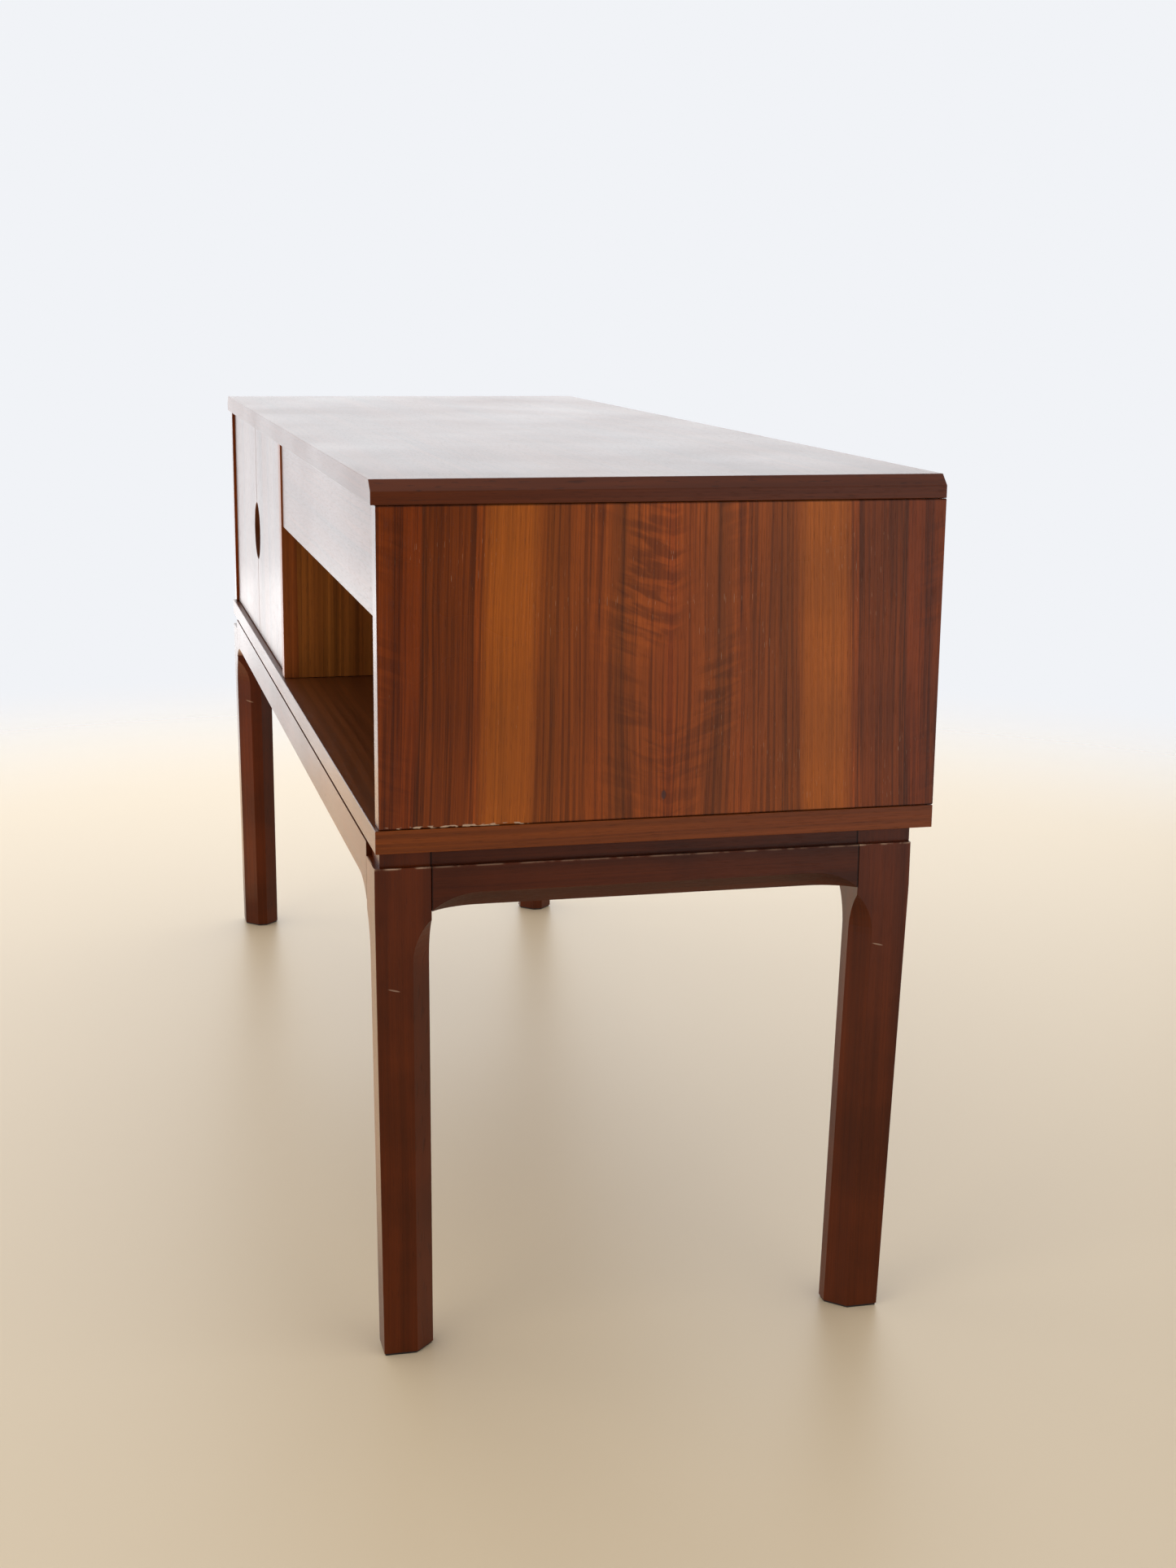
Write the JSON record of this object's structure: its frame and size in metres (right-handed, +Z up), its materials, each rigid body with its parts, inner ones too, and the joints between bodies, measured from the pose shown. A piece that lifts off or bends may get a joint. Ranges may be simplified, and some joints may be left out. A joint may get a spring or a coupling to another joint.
{
  "type": "television bench",
  "caption": "Low wooden television bench: veneered case with a pair of pivot doors, a drawer over an open niche, on a four-legged solid wood frame.",
  "frame": {"origin": "middle of the footprint, on the floor", "axes": "+Z up; the front, with the doors and the drawer, faces -Y; +X runs along the length towards the end with the drawer"},
  "size_m": [1.2, 0.42, 0.65],
  "materials": {
    "walnut_veneer": "satin lacquered walnut veneer, grain upright on the end panels and along the boards",
    "walnut_frame": "satin lacquered dark reddish brown solid wood",
    "beech": "plain sanded hardwood",
    "plywood": "thin plywood, stained brown",
    "brass": "dull brass",
    "steel": "zinc plated",
    "plastic": "brown moulded plastic",
    "glide": "dark nylon"
  },
  "bodies": {
    "bench": {"top_panel": "walnut_veneer", "bottom_panel": "walnut_veneer", "side_panel_left": "walnut_veneer", "side_panel_right": "walnut_veneer", "centre_divider": "walnut_veneer", "back_panel": "plywood", "drawer_runner_left": "beech", "drawer_runner_right": "beech", "case_pivot_left_top": "brass", "case_pivot_left_foot": "brass", "case_pivot_right_top": "brass", "case_pivot_right_foot": "brass", "pivot_washer_left": "brass", "pivot_washer_right": "brass", "door_catch_left": "plastic", "door_catch_right": "plastic", "leg_front_left": "walnut_frame", "corner_block_front_left": "beech", "frame_screw_front_left": "steel", "foot_glide_front_left": "glide", "leg_front_right": "walnut_frame", "corner_block_front_right": "beech", "frame_screw_front_right": "steel", "foot_glide_front_right": "glide", "leg_back_left": "walnut_frame", "corner_block_back_left": "beech", "frame_screw_back_left": "steel", "foot_glide_back_left": "glide", "leg_back_right": "walnut_frame", "corner_block_back_right": "beech", "frame_screw_back_right": "steel", "foot_glide_back_right": "glide", "rail_front": "walnut_frame", "rail_back": "walnut_frame", "rail_left": "walnut_frame", "rail_right": "walnut_frame"},
    "drawer": {"drawer_front": "walnut_veneer", "drawer_side_left": "beech", "drawer_side_right": "beech", "drawer_back": "beech", "drawer_bottom": "plywood"},
    "left_door": {"door_left": "walnut_veneer", "door_pivot_left_top": "brass", "door_pivot_left_foot": "brass", "door_strike_left": "steel"},
    "right_door": {"door_right": "walnut_veneer", "door_pivot_right_top": "brass", "door_pivot_right_foot": "brass", "door_strike_right": "steel"}
  },
  "joints": [
    {"name": "drawer_slide", "type": "slide", "parent": "bench", "child": "drawer", "axis": [0, -1, 0], "range_m": [0, 0.28]},
    {"name": "left_door_pivot", "type": "hinge", "parent": "bench", "child": "left_door", "pos_m": [-0.573, -0.1996, 0.5188], "axis": [0, 0, -1], "range_deg": [0, 94]},
    {"name": "right_door_pivot", "type": "hinge", "parent": "bench", "child": "right_door", "pos_m": [-0.057, -0.1996, 0.5188], "axis": [0, 0, 1], "range_deg": [0, 94]}
  ]
}
